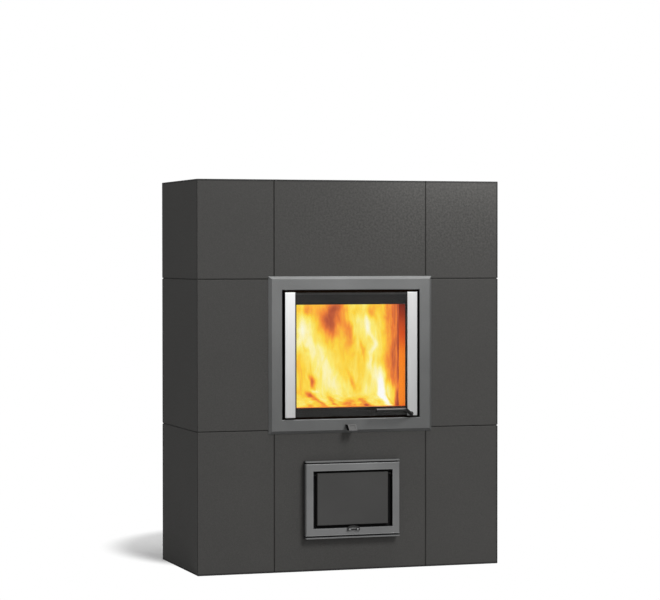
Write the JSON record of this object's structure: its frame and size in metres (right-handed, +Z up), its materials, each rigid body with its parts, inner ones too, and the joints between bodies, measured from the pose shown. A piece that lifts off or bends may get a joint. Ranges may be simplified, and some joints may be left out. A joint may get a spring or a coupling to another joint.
{
  "type": "tiled stove",
  "caption": "Free-standing heat-storing tiled stove with a glazed fire door, lever handle, air slide and a framed ash hatch.",
  "frame": {"origin": "on the floor, under the middle of the shell", "axes": "+Z up, -Y out of the front with the doors, +X to the right seen from the front"},
  "size_m": [1, 0.5035, 1.23],
  "materials": {
    "tile": "matt warm grey glaze with a fine stipple",
    "mortar": "recessed dark grey joint",
    "refractory": "cast refractory concrete",
    "fireclay": "pressed fireclay",
    "vermiculite": "pressed insulating board",
    "cast_iron": "raw casting",
    "frame_paint": "satin mid grey",
    "dark_steel": "matt black heat-proof paint",
    "brushed_steel": "brushed",
    "pane": "clear glass ceramic with a dark printed edge",
    "fibre": "graphited glass fibre"
  },
  "bodies": {
    "root": {"air_duct": "dark_steel", "ash_chamber_lintel": "refractory", "ash_chamber_wall_left": "refractory", "ash_chamber_wall_rear": "refractory", "ash_chamber_wall_right": "refractory", "ash_floor_slab": "refractory", "ash_frame_base": "frame_paint", "ash_frame_cover": "frame_paint", "ash_hatch_pins": "dark_steel", "ash_pan": "dark_steel", "back_tile_bottom": "tile", "back_tile_middle": "tile", "back_tile_top": "tile", "baffle_plate": "vermiculite", "base_slab": "refractory", "core_cap": "refractory", "corner_tile_bottom_left": "tile", "corner_tile_bottom_right": "tile", "corner_tile_middle_left": "tile", "corner_tile_middle_right": "tile", "corner_tile_top_left": "tile", "corner_tile_top_right": "tile", "cover_tile_centre": "tile", "cover_tile_left": "tile", "cover_tile_right": "tile", "door_cassette": "dark_steel", "door_frame": "frame_paint", "door_hinge_pins": "dark_steel", "fire_grate": "cast_iron", "firebox_lining_left": "fireclay", "firebox_lining_rear": "fireclay", "firebox_lining_right": "fireclay", "flue_collar": "dark_steel", "front_tile_bottom": "tile", "front_tile_top": "tile", "hearth_brick_left": "fireclay", "hearth_brick_right": "fireclay", "hearth_cross_bricks": "fireclay", "insulation_board": "vermiculite", "joint_mortar": "mortar", "latch_keeper": "dark_steel", "plinth_blocks": "refractory", "smoke_chamber_front": "refractory", "smoke_chamber_rear": "refractory", "storage_blocks_left": "refractory", "storage_blocks_right": "refractory"},
    "fire_door": {"door_leaf": "dark_steel", "door_glass": "pane", "glass_gasket": "fibre", "door_seal": "fibre", "trim_strip_left": "brushed_steel", "trim_strip_right": "brushed_steel"},
    "door_lever": {"door_handle": "brushed_steel", "latch_tongue": "dark_steel"},
    "air_control": {"air_slider": "dark_steel", "air_tab": "frame_paint"},
    "ash_door": {"ash_door_leaf": "frame_paint", "ash_door_liner": "vermiculite"},
    "latch_bow": {"ash_latch": "frame_paint"}
  },
  "joints": [
    {"name": "fire_door_hinge", "type": "hinge", "parent": "root", "child": "fire_door", "pos_m": [-0.212, -0.224, 0.68], "axis": [0, 0, -1], "range_deg": [0, 110]},
    {"name": "door_lever_turn", "type": "hinge", "parent": "fire_door", "child": "door_lever", "pos_m": [0.198, -0.22, 0.491], "axis": [0, 1, 0], "range_deg": [0, 40]},
    {"name": "air_control_slide", "type": "slide", "parent": "root", "child": "air_control", "axis": [0, -1, 0], "range_m": [0, 0.035]},
    {"name": "ash_door_hinge", "type": "hinge", "parent": "root", "child": "ash_door", "pos_m": [0, -0.237, 0.3033], "axis": [-1, 0, 0], "range_deg": [0, 80]},
    {"name": "latch_bow_turn", "type": "hinge", "parent": "root", "child": "latch_bow", "pos_m": [0, -0.2495, 0.1307], "axis": [1, 0, 0], "range_deg": [0, 80]}
  ]
}
